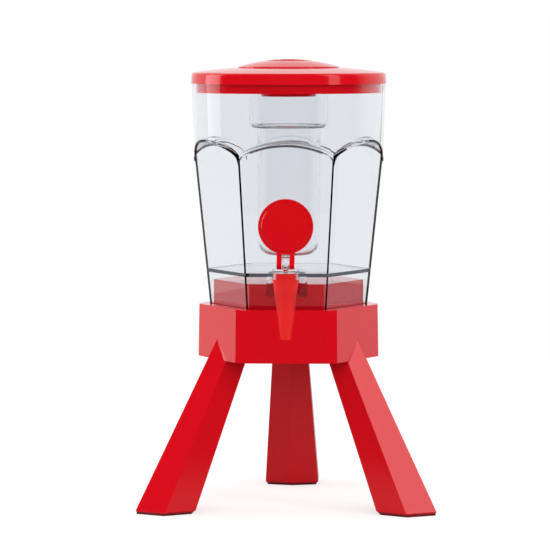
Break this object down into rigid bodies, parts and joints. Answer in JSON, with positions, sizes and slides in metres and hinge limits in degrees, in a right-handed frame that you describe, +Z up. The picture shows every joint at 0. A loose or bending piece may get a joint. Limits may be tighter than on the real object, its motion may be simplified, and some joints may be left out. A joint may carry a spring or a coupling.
{
  "type": "beverage tower dispenser",
  "caption": "Clear hexagonal drinks tower with a removable ice tube, red lid and cap, a tilting lever tap and a red collar on splayed legs.",
  "frame": {"origin": "on the table under the middle of the object's box, with the foot pads at z = 0", "axes": "+Z up, the tap at the front towards -Y, +X to the right seen from the front"},
  "size_m": [0.2882, 0.2684, 0.4346],
  "materials": {
    "stand_red": "glossy red moulded plastic",
    "lid_red": "glossy red moulded plastic",
    "lever_red": "glossy red moulded plastic",
    "tank_clear": "clear polished plastic",
    "tap_clear": "clear polished plastic",
    "seat_silicone": "smooth red silicone",
    "seal_rubber": "smooth grey silicone",
    "pad_rubber": "dull dark red rubber",
    "nut_white": "matt white moulded plastic",
    "screw_steel": "plain steel"
  },
  "bodies": {
    "base": {"base_collar": "stand_red", "left_leg": "stand_red", "right_leg": "stand_red", "back_leg": "stand_red", "left_foot_pad": "pad_rubber", "right_foot_pad": "pad_rubber", "back_foot_pad": "pad_rubber", "leg_screws": "screw_steel"},
    "tank": {"tank": "tank_clear", "tap_body": "tap_clear", "tap_bonnet": "tap_clear", "shank_nut": "nut_white", "outer_washer": "seal_rubber", "inner_washer": "seal_rubber"},
    "stem": {"tap_stem": "tap_clear", "tap_seat": "seat_silicone"},
    "lever": {"tap_lever": "lever_red", "lever_cap": "lever_red"},
    "lid": {"lid": "lid_red", "ice_tube": "tank_clear", "tube_seal": "seal_rubber"},
    "cap": {"ice_cap": "lid_red"}
  },
  "joints": [
    {"name": "tank_lift", "type": "slide", "parent": "base", "child": "tank", "axis": [0, 0, 1], "range_m": [0, 0.06]},
    {"name": "lid_lift", "type": "slide", "parent": "tank", "child": "lid", "axis": [0, 0, 1], "range_m": [0, 0.18]},
    {"name": "cap_lift", "type": "slide", "parent": "lid", "child": "cap", "axis": [0, 0, 1], "range_m": [0, 0.04]},
    {"name": "stem_lift", "type": "slide", "parent": "tank", "child": "stem", "axis": [0, 0, 1], "range_m": [0, 0.003]},
    {"name": "lever_tilt", "type": "hinge", "parent": "stem", "child": "lever", "pos_m": [0, -0.12114, 0.2462], "axis": [1, 0, 0], "range_deg": [0, 45], "stiffness_Nm_per_rad": 0.1, "springref_deg": -5.73}
  ],
  "couplings": [
    {"joint": "stem_lift", "follows": "lever_tilt", "m_per_rad": 0.0038197}
  ]
}
